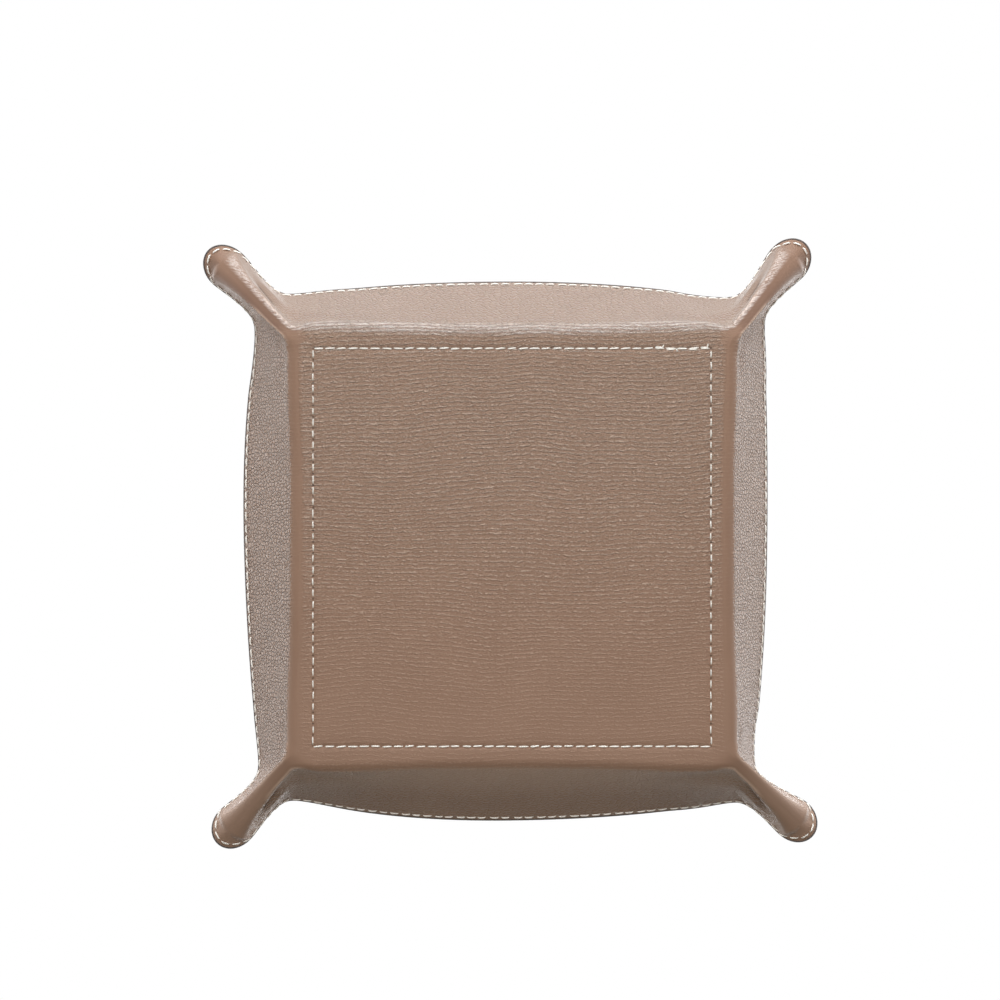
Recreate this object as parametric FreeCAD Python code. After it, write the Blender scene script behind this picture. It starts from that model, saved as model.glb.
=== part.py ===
"""A stitched leather valet tray: a square sheet with rolled walls and four pinched, ear-shaped corners.

Millimetres, +Z up. The origin is the centre of the underside, which rests on z = 0.
"""

import FreeCAD
import Part
import math
import os
from collections import namedtuple

Vector = FreeCAD.Vector

# Flat base and rolled walls
BASE_HALF = 65.4  # centre of the base to the start of the rolled edge
ROLL_RADIUS = 4.0  # outside radius of the rolled edge
WALL_SPREAD = 18.0  # how far the rim at mid-wall stands outside the flat base
WALL_RISE = 30.6  # height of the rim at mid-wall
WALL_BOW = 47.7  # length over which the rim runs straight before it draws in to the neck
FOLD_BOW = 1.0  # how far the start of the rolled edge is drawn in at mid-wall
FOLD_BOW_RUN = 40.0  # length of wall over which it draws in

# Ridge: the rounded fold that runs out from each base corner, under the ear
RIDGE_START = -2.2  # where the ridge leaves the flat base, along the diagonal from the base corner
RIDGE_BEND = 10.0  # radius of the bend where it lifts off
RIDGE_PITCH = 34.0  # degrees
RIDGE_FLAT = 0.4  # half width of the flat strip along the bottom of the fold
RIDGE_FILLET = 12.0  # plan radius that leads the rolled edge into the fold
FOLD_RADIUS = 2.0  # outside radius of the fold at each side of its flat strip

# Neck and ear, as distances along and across the diagonal from the base corner
NECK_REACH = 13.6
NECK_HALF = 6.5
NECK_RISE = 32.0
NECK_SLANT = -34.0  # degrees from the diagonal, the rim's direction at the neck
NECK_EASE = 6.2  # how gently the rim turns into the neck
NECK_LEAVE = 5.2  # how gently it turns on towards the ear
EAR_HALF = 6.6
EAR_RISE = 29.4  # rim height at the widest place
EAR_REACH = 39.1  # tip of the ear
EAR_ROUND = 7.7  # from the widest place to the tip
EAR_FAN = 6.8  # from the end of the flat strip to the tip
TIP_CURL = 0.6  # how far the tip turns up out of the ridge's slope
CUP_RADIUS = 3.6  # bend radius of the ear's hollow

# Pinch: at the neck the two sides of each corner are drawn together and tacked
PINCH_LIFT = 5.0  # above the ridge
PINCH_GAP = 0.5  # left between the two faces of the lining
PINCH_BAND = 3.2  # half height of the drawn-in band
PINCH_LEAD = 11.0  # how far it fades out towards the base
PINCH_TAIL = 7.0  # how far it fades out towards the tip

# Sheets
LEATHER = 1.0
LINING = 0.8
BOARD = 1.2
BOARD_CLEARANCE = 0.1
BOARD_CLIP = 3.0  # cut off each corner of the board
PANEL_SLOPE = 1.0  # run of the slope where the lining climbs on to the board

# Seams
STITCH_PITCH = 3.47
STITCH_LENGTH = 2.7
STITCH_WIDTH = 0.7
STITCH_HEIGHT = 0.42
STITCH_RIDGE = 1.7  # length of a stitch along its crown
BASE_SEAM_INSET = 4.7  # from the start of the rolled edge
SEAM_TO_BOARD = 1.7
RIM_SEAM_INSET = 2.2  # from the cut edge
THREAD_CLEARANCE = 0.08
GROOVE_WIDTH = 1.0
GROOVE_DEPTH = 0.55
TACK_BARS = 3
TACK_WIDTH = 0.6
TACK_STEP = 0.8

# The corners are drawn in by hand, so they differ a little: the ear's swing towards the front or
# rear wall in degrees, how much further it reaches, and how much wider each wall stands at the neck
Corner = namedtuple("Corner", "name sx sy swing reach neck_x neck_y")
CORNERS = (
    Corner("front_left", -1, -1, -2.6, 1.1, 1.1, -0.1),
    Corner("front_right", 1, -1, 3.1, 0.5, 0.4, -1.4),
    Corner("rear_left", -1, 1, 0.9, -0.7, 0.5, 0.7),
    Corner("rear_right", 1, 1, -3.8, -0.8, -3.0, 1.7),
)
# How much wider than WALL_SPREAD each wall stands at its middle, and the slope of its rim in plan there
WALL_EXTRA = {("x", -1): 0.7, ("x", 1): -3.1, ("y", -1): -0.3, ("y", 1): 2.8}
WALL_SKEW = {("x", -1): -0.027, ("x", 1): -0.014, ("y", -1): 0.0, ("y", 1): -0.013}
# The fold at each corner leans over towards the wall on its X side
FOLD_LEAN = 1.7  # at the bottom of the fold, by the base corner
LEAN_LIFT = 12.0  # height above the ridge where the lean has faded out
SWING_START = -3.0  # along the diagonal, where the swing and the lean begin
SWING_WIDTH = 9.0  # across the diagonal, how far it is full
SWING_FADE = 26.0  # across the diagonal, where it has faded out

# Where the straight runs from the fold meet the rim (0 mid-wall, 1 neck, 2 shoulder, 3 tip)
RIM_AT_WALL_END = 0.72
RIM_AT_LIFT = 0.95  # from where the ridge leaves the flat base
RIM_AT_BEND_END = 1.1
RIM_AT_STRIP = 1.2  # from where the flat strip's sides run parallel
LIFT_ROLL_SHARE = 0.7  # share of the roll's radius left in the bend where the ridge leaves the base

# Facets of the leather: steps between the stations below, and rows from fold line to rim
STATION_STEPS = (3, 1, 2, 1, 5, 4)
ROWS = 7
ROW_EASE = 1.45  # above 1 crowds the rows towards the fold
SEAM_SAMPLES = 40  # between stations, for measuring along the rim seam
MERGE = 1e-3  # corners of facets closer than this are one
STEP = 1e-4  # parameter step for surface normals

ROOT_HALF = math.sqrt(0.5)
PITCH = math.radians(RIDGE_PITCH)
BEND_RUN = RIDGE_BEND * math.sin(PITCH)
BEND_END = RIDGE_START + BEND_RUN
STACK = LEATHER + LINING
EAR_SHOULDER = EAR_REACH - EAR_ROUND
EAR_STRIP_END = EAR_REACH - EAR_FAN


def along_across(outward_a, outward_b):
    """Distances along and across the diagonal, from distances past the base corner along each wall."""
    return (outward_a + outward_b) * ROOT_HALF, (outward_b - outward_a) * ROOT_HALF


def smooth_step(low, high, value):
    share = min(max((value - low) / (high - low), 0.0), 1.0)
    return share * share * (3.0 - 2.0 * share)


def ridge_height(along):
    """Height of the bottom of the fold at a distance along the diagonal."""
    run = along - RIDGE_START
    if run <= 0.0:
        return 0.0
    if run < BEND_RUN:
        return RIDGE_BEND - math.sqrt(RIDGE_BEND**2 - run**2)
    return RIDGE_BEND * (1.0 - math.cos(PITCH)) + (run - BEND_RUN) * math.tan(PITCH)


def ridge_slope(along):
    run = min(max(along - RIDGE_START, 0.0), BEND_RUN)
    return math.tan(math.asin(run / RIDGE_BEND))


# The fold line bounds the flat base and its four strips: along the wall, round a fillet, along the
# strip's side and round its end. Lengths are in plan, from mid-wall.
FILLET_TANGENT = RIDGE_FILLET * math.tan(math.pi / 8)
FILLET_A = -RIDGE_FLAT / ROOT_HALF - FILLET_TANGENT
STRIP_START = -RIDGE_FLAT + FILLET_TANGENT
LENGTH_WALL = BASE_HALF + FILLET_A
LENGTH_FILLET = LENGTH_WALL + RIDGE_FILLET * math.pi / 4
LENGTH_STRIP = LENGTH_FILLET + EAR_STRIP_END - STRIP_START
LENGTH_END = LENGTH_STRIP + RIDGE_FLAT * math.pi / 2


def fold_line(length):
    """Place along and across the diagonal, and the direction square to the fold line there."""
    if length <= LENGTH_FILLET:
        angle = max(length - LENGTH_WALL, 0.0) / RIDGE_FILLET
        straight = min(length - LENGTH_WALL, 0.0)
        drawn_in = FOLD_BOW * smooth_step(0.0, FOLD_BOW_RUN, -straight)
        place = along_across(
            FILLET_A + straight + RIDGE_FILLET * math.sin(angle),
            RIDGE_FILLET * (1.0 - math.cos(angle)) - drawn_in,
        )
        return place, along_across(-math.sin(angle), math.cos(angle))
    angle = max(length - LENGTH_STRIP, 0.0) / RIDGE_FLAT
    straight = min(length, LENGTH_STRIP) - LENGTH_FILLET
    place = (STRIP_START + straight + RIDGE_FLAT * math.sin(angle), RIDGE_FLAT * math.cos(angle))
    return place, (math.sin(angle), math.cos(angle))


def fillet_length(along):
    """Length on the fold line where its fillet passes a distance along the diagonal."""
    middle = (FILLET_A + RIDGE_FILLET) * ROOT_HALF
    return LENGTH_WALL + RIDGE_FILLET * (math.pi / 4 + math.asin((along - middle) / RIDGE_FILLET))


def bezier(points, share):
    rest = 1.0 - share
    weights = (rest**3, 3.0 * rest**2 * share, 3.0 * rest * share**2, share**3)
    return sum((point * weight for point, weight in zip(points, weights)), Vector())


ELLIPSE_EASE = 4.0 / 3.0 * (math.sqrt(2.0) - 1.0)


def rim_curves(corner, side):
    """The rim from mid-wall to neck, neck to shoulder and shoulder to tip: along, across, height."""
    wall_sign = corner.sx if side == "x" else corner.sy
    spread = WALL_SPREAD + WALL_EXTRA[side, wall_sign]
    neck_extra = corner.neck_x if side == "x" else corner.neck_y
    skew = WALL_SKEW[side, wall_sign] * (corner.sy if side == "x" else corner.sx)
    middle = Vector(*along_across(-BASE_HALF, spread), WALL_RISE)
    bow = Vector(*along_across(WALL_BOW, WALL_BOW * skew), 0.0)
    neck = Vector(NECK_REACH + neck_extra * ROOT_HALF, NECK_HALF + neck_extra * ROOT_HALF, NECK_RISE)
    slant = math.radians(NECK_SLANT)
    neck_way = Vector(math.cos(slant), math.sin(slant), 0.0)
    shoulder = Vector(EAR_SHOULDER, EAR_HALF, EAR_RISE)
    tip_height = ridge_height(EAR_REACH) + TIP_CURL
    tip = Vector(EAR_REACH, 0.0, tip_height)
    droop = (tip_height - EAR_RISE) * ELLIPSE_EASE
    shoulder_ease = Vector(EAR_ROUND * ELLIPSE_EASE, 0.0, droop)
    tip_ease = Vector(0.0, EAR_HALF * ELLIPSE_EASE, 0.0)
    return (
        (middle, middle + bow, neck - neck_way * NECK_EASE, neck),
        (neck, neck + neck_way * NECK_LEAVE, shoulder - shoulder_ease, shoulder),
        (shoulder, shoulder + shoulder_ease, tip + tip_ease, tip),
    )


# Stations tie places on the fold line to places on the rim and give the bend radius between them
Station = namedtuple("Station", "length rim radius")
LIFT_RADIUS = LIFT_ROLL_SHARE * ROLL_RADIUS + (1.0 - LIFT_ROLL_SHARE) * FOLD_RADIUS
LIFT = Station(fillet_length(RIDGE_START), RIM_AT_LIFT, LIFT_RADIUS)
STATIONS = (
    Station(0.0, 0.0, ROLL_RADIUS),
    Station(LENGTH_WALL, RIM_AT_WALL_END, ROLL_RADIUS),
    LIFT,
    Station(fillet_length(BEND_END), RIM_AT_BEND_END, FOLD_RADIUS),
    Station(LENGTH_FILLET, RIM_AT_STRIP, FOLD_RADIUS),
    Station(LENGTH_STRIP, 2.0, CUP_RADIUS),
    Station(LENGTH_END, 3.0, CUP_RADIUS),
)
LIFT_STATION = STATIONS.index(LIFT)
LAST_STATION = len(STATIONS) - 1


def station_slope(values, index):
    """Slope of a curve through the stations that never overshoots them."""
    if index in (0, LAST_STATION):
        near = min(index, LAST_STATION - 1)
        return values[near + 1] - values[near]
    before = values[index] - values[index - 1]
    after = values[index + 1] - values[index]
    if before * after <= 0.0:
        return 0.0
    return 2.0 * before * after / (before + after)


def at_station(field, place):
    """A station value at any place between the stations."""
    values = [getattr(station, field) for station in STATIONS]
    index = min(int(place), LAST_STATION - 1)
    share = place - index
    start = values[index]
    end = values[index + 1]
    slope_start = station_slope(values, index)
    slope_end = station_slope(values, index + 1)
    change = end - start
    square = 3.0 * change - 2.0 * slope_start - slope_end
    cube = slope_start + slope_end - 2.0 * change
    return start + share * (slope_start + share * (square + share * cube))


def pinch_weight(along, lift):
    fade = PINCH_LEAD if along < NECK_REACH else PINCH_TAIL
    return math.exp(-(((along - NECK_REACH) / fade) ** 2) - ((lift - PINCH_LIFT) / PINCH_BAND) ** 2)


def set_by_hand(corner, side, point):
    """World place of a point given along and across a corner's diagonal, with its swing and lean."""
    along = point.x
    if along > BEND_END:
        along += corner.reach * (along - BEND_END) / (EAR_REACH - BEND_END)
    towards_y = point.y if side == "y" else -point.y
    full = smooth_step(SWING_START, BEND_END, point.x)
    narrow = 1.0 - smooth_step(SWING_WIDTH, SWING_FADE, abs(point.y))
    low = 1.0 - smooth_step(0.0, LEAN_LIFT, point.z - ridge_height(point.x))
    to_tip = smooth_step(BEND_END, EAR_REACH, point.x)
    towards_y -= FOLD_LEAN * full * narrow * low * (1.0 - to_tip)
    turn = math.radians(corner.swing) * full * narrow
    out = along * math.cos(turn) - towards_y * math.sin(turn)
    sideways = along * math.sin(turn) + towards_y * math.cos(turn)
    x = BASE_HALF + (out - sideways) * ROOT_HALF
    y = BASE_HALF + (out + sideways) * ROOT_HALF
    return Vector(corner.sx * x, corner.sy * y, point.z)


class Octant:
    """Half a corner and half the wall beside it, as bends that each run straight on to the rim."""

    def __init__(self, corner, side):
        self.corner = corner
        self.side = side
        self.rim = rim_curves(corner, side)
        self.flip = corner.sx * corner.sy * (1 if side == "y" else -1)

    def rim_point(self, value):
        index = min(int(value), len(self.rim) - 1)
        return bezier(self.rim[index], value - index)

    def flow(self, place):
        """Start, two directions, radius, turn and straight length of the bend at a place."""
        (along, across), (ahead, aside) = fold_line(at_station("length", place))
        start = Vector(along, across, ridge_height(along))
        first = Vector(ahead, aside, ahead * ridge_slope(along)).normalize()
        reach = self.rim_point(at_station("rim", place)) - start
        flat = reach.dot(first)
        second = reach - first * flat
        rise = second.Length
        second.normalize()
        radius = at_station("radius", place)
        distance = math.hypot(flat, rise - radius)
        turn = math.atan2(rise - radius, flat) + math.asin(min(radius / distance, 1.0))
        straight = math.sqrt(max(distance**2 - radius**2, 0.0))
        return start, first, second, radius, turn, straight

    def local(self, place, share):
        """Place on the outside of the leather, along and across the diagonal; share runs fold line to rim."""
        start, first, second, radius, turn, straight = self.flow(place)
        travel = share * (radius * turn + straight)
        angle = min(travel / radius, turn)
        rest = max(travel - radius * turn, 0.0)
        flat = radius * math.sin(angle) + rest * math.cos(angle)
        rise = radius * (1.0 - math.cos(angle)) + rest * math.sin(angle)
        local = start + first * flat + second * rise
        drawn = PINCH_GAP / 2.0 + STACK
        weight = pinch_weight(local.x, local.z - ridge_height(local.x))
        local.y += min(drawn - local.y, 0.0) * weight
        return local

    def world(self, local):
        return set_by_hand(self.corner, self.side, local)

    def point(self, place, share):
        return self.world(self.local(place, share))

    def length(self, place):
        start, first, second, radius, turn, straight = self.flow(place)
        return radius * turn + straight

    def seam_share(self, place):
        """Share of the way to the rim at which the rim seam runs."""
        return 1.0 - RIM_SEAM_INSET / self.length(place)

    def around(self, place, share):
        """Direction along the wall towards the corner; square to the diagonal at the tip."""
        if place < LAST_STATION:
            return self.point(place + STEP, share) - self.point(max(place - STEP, 0.0), share)
        step = Vector(0.0, -STEP, 0.0)
        local = self.local(place, share)
        return self.world(local + step) - self.world(local - step)

    def normal(self, place, share):
        """Unit direction from the outside of the leather towards the inside of the tray."""
        low = max(share - STEP, 0.0)
        high = min(share + STEP, 1.0)
        up = self.point(place, high) - self.point(place, low)
        return (self.around(place, share).cross(up) * self.flip).normalize()

    def floor_normal(self, place):
        """The same direction on the fold line, square to the flat base or strip."""
        (along, across), direction = fold_line(at_station("length", place))
        outward = self.floor_point(along + STEP, across) - self.floor_point(along - STEP, across)
        aside = self.floor_point(along, across + STEP) - self.floor_point(along, across - STEP)
        return (outward.cross(aside) * self.flip).normalize()

    def floor_point(self, along, across):
        return self.world(Vector(along, across, ridge_height(along)))

    def skin(self, place, share, depth):
        """A point at a depth below the outside of the leather."""
        inward = self.normal(place, share) if share > 0.0 else self.floor_normal(place)
        return self.point(place, share) + inward * depth


OCTANTS = {(corner.name, side): Octant(corner, side) for corner in CORNERS for side in ("y", "x")}
PLACES = [index + step / steps for index, steps in enumerate(STATION_STEPS) for step in range(steps)]
PLACES.append(LAST_STATION)
LIFT_COLUMN = PLACES.index(LIFT_STATION)
LAST_COLUMN = len(PLACES) - 1
SHARES = [(row / ROWS) ** ROW_EASE for row in range(ROWS + 1)]


class Skin:
    """Facets of a closed sheet between two depths below the outside of the leather."""

    def __init__(self, outside, inside):
        self.depths = (outside, inside)
        self.points = []
        self.numbers = {}
        self.facets = []
        for octant in OCTANTS.values():
            self.add_octant(octant)
        for corner in CORNERS:
            self.add_strip(corner)

    def number(self, octant, column, row, depth):
        """Number of a grid point; points on a plane of symmetry belong to both octants that meet there."""
        corner = octant.corner
        if column == 0:
            sign = corner.sx if octant.side == "x" else corner.sy
            key = (octant.side, sign, row, depth)
        elif column == LAST_COLUMN:
            key = (corner.name, row, depth)
        else:
            key = (corner.name, octant.side, column, row, depth)
        if key not in self.numbers:
            self.numbers[key] = len(self.points)
            self.points.append(octant.skin(PLACES[column], SHARES[row], depth))
        return self.numbers[key]

    def centre(self, depth):
        if depth not in self.numbers:
            self.numbers[depth] = len(self.points)
            self.points.append(Vector(0.0, 0.0, depth))
        return self.numbers[depth]

    def add_quad(self, a, b, c, d, turned):
        for facet in ((a, b, c), (a, c, d)):
            self.facets.append(facet[::-1] if turned else facet)

    def add_octant(self, octant):
        outside, inside = self.depths
        for column in range(LAST_COLUMN):
            for depth in self.depths:
                turned = (octant.flip > 0) == (depth == outside)
                for row in range(ROWS):
                    quad = [(column, row), (column + 1, row), (column + 1, row + 1), (column, row + 1)]
                    self.add_quad(*(self.number(octant, c, r, depth) for c, r in quad), turned)
                if column < LIFT_COLUMN:
                    base = [self.number(octant, c, 0, depth) for c in (column + 1, column)]
                    facet = (self.centre(depth), *base)
                    self.facets.append(facet[::-1] if turned else facet)
            edge = [(column, outside), (column + 1, outside), (column + 1, inside), (column, inside)]
            self.add_quad(*(self.number(octant, c, ROWS, depth) for c, depth in edge), octant.flip > 0)

    def add_strip(self, corner):
        """The strip along the bottom of the fold, and the corner of the flat base that leads to it."""
        sides = [OCTANTS[corner.name, side] for side in ("y", "x")]
        for depth in self.depths:
            turned = (sides[0].flip > 0) == (depth == self.depths[0])
            across = [self.number(side, LIFT_COLUMN, 0, depth) for side in sides]
            facet = (self.centre(depth), across[1], across[0])
            self.facets.append(facet[::-1] if turned else facet)
            for column in range(LIFT_COLUMN, LAST_COLUMN):
                near = [self.number(side, column, 0, depth) for side in sides]
                far = [self.number(side, column + 1, 0, depth) for side in sides]
                if far[0] == far[1]:
                    facet = (near[1], far[0], near[0])
                    self.facets.append(facet[::-1] if turned else facet)
                else:
                    self.add_quad(near[1], far[1], far[0], near[0], turned)

    def solid(self):
        shell = Part.Shape()
        shell.makeShapeFromMesh((self.points, self.facets), MERGE)
        return Part.Solid(shell).removeSplitter()


def clipped_square(half, clip, height):
    """A square face with its corners cut off."""
    corners = []
    for turn in range(4):
        spin = FreeCAD.Rotation(Vector(0, 0, 1), 90 * turn)
        corners.append(spin.multVec(Vector(clip - half, -half, height)))
        corners.append(spin.multVec(Vector(half - clip, -half, height)))
    return polygon_face(corners)


def polygon_face(corners):
    return Part.Face(Part.makePolygon(corners + corners[:1]))


def frustum(low, high):
    """A solid between two polygon faces with as many corners each."""
    below = [vertex.Point for vertex in low.OuterWire.OrderedVertexes]
    above = [vertex.Point for vertex in high.OuterWire.OrderedVertexes]
    sides = []
    for index, corner in enumerate(below):
        sides.append(polygon_face([corner, below[index - 1], above[index - 1], above[index]]))
    return Part.Solid(Part.Shell([low, high] + sides))


SEAM_HALF = BASE_HALF - BASE_SEAM_INSET
BOARD_HALF = SEAM_HALF - SEAM_TO_BOARD
POCKET_HALF = BOARD_HALF + BOARD_CLEARANCE
POCKET_TOP = LEATHER + BOARD + BOARD_CLEARANCE


def base_board():
    return clipped_square(BOARD_HALF, BOARD_CLIP, LEATHER).extrude(Vector(0, 0, BOARD))


def outer_leather():
    """The outer sheet, with a groove on its underside in which the base seam lies below the surface."""
    half = SEAM_HALF + GROOVE_WIDTH / 2.0
    groove = Part.makeBox(2 * half, 2 * half, GROOVE_DEPTH, Vector(-half, -half, 0))
    inner = half - GROOVE_WIDTH
    groove = groove.cut(Part.makeBox(2 * inner, 2 * inner, GROOVE_DEPTH, Vector(-inner, -inner, 0)))
    return Skin(0.0, LEATHER).solid().cut(groove)


def lining_leather():
    """The inner sheet, which climbs on to the board inside the base seam and leaves a pocket for it."""
    foot = clipped_square(POCKET_HALF + PANEL_SLOPE, BOARD_CLIP + PANEL_SLOPE, STACK)
    top = clipped_square(POCKET_HALF, BOARD_CLIP, POCKET_TOP + LINING)
    pocket = clipped_square(POCKET_HALF, BOARD_CLIP, LEATHER).extrude(Vector(0, 0, POCKET_TOP - LEATHER))
    return Skin(LEATHER, STACK).solid().fuse(frustum(foot, top)).cut(pocket).removeSplitter()


def stitch():
    """One stitch along X, seated on z = 0, with a ridge that is shorter than its foot."""
    x = STITCH_LENGTH / 2.0
    y = STITCH_WIDTH / 2.0
    foot = [Vector(-x, -y, 0), Vector(x, -y, 0), Vector(x, y, 0), Vector(-x, y, 0)]
    ridge = [Vector(side * STITCH_RIDGE / 2.0, 0, STITCH_HEIGHT) for side in (-1, 1)]
    faces = [
        polygon_face(foot),
        polygon_face([foot[0], foot[1], ridge[1], ridge[0]]),
        polygon_face([foot[2], foot[3], ridge[0], ridge[1]]),
        polygon_face([foot[1], foot[2], ridge[1]]),
        polygon_face([foot[3], foot[0], ridge[0]]),
    ]
    shell = Part.Shell(faces)
    shell.sewShape()
    return Part.Solid(shell)


STITCH = stitch()


def seated_stitch(place, along, up):
    """A stitch that stands off its seat by the thread's clearance."""
    aside = up.cross(along).normalize()
    along = aside.cross(up)
    base = place + up * THREAD_CLEARANCE
    rows = zip(along, aside, up, base)
    frame = FreeCAD.Matrix(*(value for row in rows for value in row), 0, 0, 0, 1)
    return STITCH.transformed(frame)


def base_seam(height, up):
    """A square of stitches on a flat seat."""
    count = round(2.0 * SEAM_HALF / STITCH_PITCH)
    pitch = 2.0 * SEAM_HALF / count
    stitches = []
    for turn in range(4):
        spin = FreeCAD.Rotation(Vector(0, 0, 1), 90 * turn)
        for index in range(count):
            place = Vector((index + 0.5) * pitch - SEAM_HALF, -SEAM_HALF, height)
            stitches.append(seated_stitch(spin.multVec(place), spin.multVec(Vector(1, 0, 0)), up))
    return Part.makeCompound(stitches)


def rim_seam(depth, side):
    """Stitches that follow the cut edge, on the outside (side -1) or the inside (side 1)."""
    stitches = []
    samples = SEAM_SAMPLES * LAST_STATION
    for octant in OCTANTS.values():
        places = [LAST_STATION * index / samples for index in range(samples + 1)]
        line = [octant.skin(place, octant.seam_share(place), depth) for place in places]
        travel = [0.0]
        for before, after in zip(line, line[1:]):
            travel.append(travel[-1] + after.distanceToPoint(before))
        count = round(travel[-1] / STITCH_PITCH)
        for index in range(count):
            goal = (index + 0.5) * travel[-1] / count
            low = max(number for number, value in enumerate(travel) if value <= goal)
            share = (goal - travel[low]) / (travel[low + 1] - travel[low])
            place = places[low] + share * (places[low + 1] - places[low])
            seam = octant.seam_share(place)
            up = octant.normal(place, seam) * side
            along = line[low + 1] - line[low]
            stitches.append(seated_stitch(octant.skin(place, seam, depth), along, up))
    return Part.makeCompound(stitches)


def tack_bar(octant, along, height, half):
    """A square bar of thread across the diagonal."""
    arm = TACK_WIDTH / 2.0
    out = octant.world(Vector(along + arm, 0, height)) - octant.world(Vector(along - arm, 0, height))
    up = Vector(0, 0, TACK_WIDTH)
    ends = []
    for across in (-half, half):
        low = octant.world(Vector(along, across, height - arm)) - out / 2.0
        ends.append(polygon_face([low, low + out, low + out + up, low + up]))
    return frustum(*ends)


def corner_tack(corner):
    """Short bars of thread between the lining's two faces, where the corner is pinched."""
    octant = OCTANTS[corner.name, "y"]
    half = PINCH_GAP / 2.0 - THREAD_CLEARANCE
    bars = []
    for index in range(TACK_BARS):
        shift = (index - (TACK_BARS - 1) / 2.0) * TACK_STEP
        along = NECK_REACH + shift * math.cos(PITCH)
        height = ridge_height(along) + PINCH_LIFT
        bars.append(tack_bar(octant, along, height, half))
    return Part.makeCompound(bars)


def main():
    os.makedirs("parts", exist_ok=True)
    down = Vector(0, 0, -1)
    up = Vector(0, 0, 1)
    nodes = {
        "outer_leather": outer_leather(),
        "lining_leather": lining_leather(),
        "base_board": base_board(),
        "base_seam_outer_thread": base_seam(GROOVE_DEPTH, down),
        "base_seam_inner_thread": base_seam(STACK, up),
        "rim_seam_outer_thread": rim_seam(0.0, -1),
        "rim_seam_inner_thread": rim_seam(STACK, 1),
    }
    for corner in CORNERS:
        nodes["corner_tack_" + corner.name] = corner_tack(corner)
    for name, shape in nodes.items():
        shape.exportStep("parts/" + name + ".step")


main()
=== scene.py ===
"""Looks of a stitched leather valet tray, in metres, in the frame of its solids."""

import math

import bpy
import numpy as np
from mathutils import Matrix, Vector
from mathutils.geometry import delaunay_2d_cdt


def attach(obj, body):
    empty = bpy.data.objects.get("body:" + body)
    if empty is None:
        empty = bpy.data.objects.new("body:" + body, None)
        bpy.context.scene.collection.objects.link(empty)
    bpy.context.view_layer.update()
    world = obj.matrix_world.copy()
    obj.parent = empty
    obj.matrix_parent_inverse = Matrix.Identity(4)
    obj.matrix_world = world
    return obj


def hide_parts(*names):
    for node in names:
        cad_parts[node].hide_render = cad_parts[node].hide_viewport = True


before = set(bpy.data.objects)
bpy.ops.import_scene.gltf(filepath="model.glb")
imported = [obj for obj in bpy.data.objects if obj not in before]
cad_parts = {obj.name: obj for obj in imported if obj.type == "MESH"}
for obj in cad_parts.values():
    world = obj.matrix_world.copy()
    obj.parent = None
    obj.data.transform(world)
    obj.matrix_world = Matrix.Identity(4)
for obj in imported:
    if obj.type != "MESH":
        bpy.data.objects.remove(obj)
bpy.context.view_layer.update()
MM = 0.001
RNG = np.random.default_rng(7)

# The tray's sizes in millimetres, as in its solids, but for a softer CUP_RADIUS at the ears' tips
BASE_HALF = 65.4
ROLL_RADIUS = 4.0
WALL_SPREAD = 18.0
WALL_RISE = 30.6
WALL_BOW = 47.7
FOLD_BOW = 1.0
FOLD_BOW_RUN = 40.0
RIDGE_START = -2.2
RIDGE_BEND = 10.0
RIDGE_PITCH = 34.0
RIDGE_FLAT = 0.4
RIDGE_FILLET = 12.0
FOLD_RADIUS = 2.0
NECK_REACH = 13.6
NECK_HALF = 6.5
NECK_RISE = 32.0
NECK_SLANT = -34.0
NECK_EASE = 6.2
NECK_LEAVE = 5.2
EAR_SHOULDER = 31.4
EAR_HALF = 6.6
EAR_RISE = 29.4
EAR_REACH = 39.1
EAR_STRIP_END = 32.3
TIP_CURL = 0.6
CUP_RADIUS = 5.2
PINCH_LIFT = 5.0
PINCH_GAP = 0.5
PINCH_BAND = 3.2
PINCH_LEAD = 11.0
PINCH_TAIL = 7.0
LEATHER = 1.0
LINING = 0.8
BOARD = 1.2
BOARD_CLEARANCE = 0.1
BASE_SEAM_INSET = 4.7
SEAM_TO_BOARD = 1.7
RIM_SEAM_INSET = 2.2
STITCH_PITCH = 3.47
# Each corner's way in x and y, swing in degrees, extra reach, and its neck's extra on the x and y wall
CORNERS = {
    "front_left": (-1, -1, -2.6, 1.1, 1.1, -0.1),
    "front_right": (1, -1, 3.1, 0.5, 0.4, -1.4),
    "rear_left": (-1, 1, 0.9, -0.7, 0.5, 0.7),
    "rear_right": (1, 1, -3.8, -0.8, -3.0, 1.7),
}
WALL_EXTRA = {("x", -1): 0.7, ("x", 1): -3.1, ("y", -1): -0.3, ("y", 1): 2.8}
WALL_SKEW = {("x", -1): -0.027, ("x", 1): -0.014, ("y", -1): 0.0, ("y", 1): -0.013}
SWING_START = -3.0
FOLD_LEAN = 1.7
LEAN_LIFT = 12.0
SWING_WIDTH = 9.0
SWING_FADE = 26.0
RIM_AT_WALL_END = 0.72
RIM_AT_LIFT = 0.95
RIM_AT_BEND_END = 1.1
RIM_AT_STRIP = 1.2
LIFT_ROLL_SHARE = 0.7
STEP = 1e-3
# Beside each pinch, on the Y side, the fold swells below and above a short slit, which the looks darken with
# painted shade
SLIT_ALONG = 16.2
SLIT_RUN = 4.0
SLIT_LIFT = 6.4
SLIT_BAND = 0.65
# Lift, band and height of each
SWELLINGS = ((2.8, 1.5, 0.5), (9.4, 1.5, 0.35), (SLIT_LIFT, SLIT_BAND, -0.25))
# Zones that the looks follow, by station, by place along the diagonal or by distance from the fold
FOLD_FADE = (1.3, 2.0)
FRONT_FOLD_DELAY = 0.6
NARROWING = (1.6, 2.6)
SPOON = (4.2, 5.0)
STREAK_END = (4.85, 5.2)
WALL_END = {"y": (4.6, 5.7), "x": (4.3, 5.2)}
LIT_FROM = 0.3
LIT_FADE = 0.45
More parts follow.
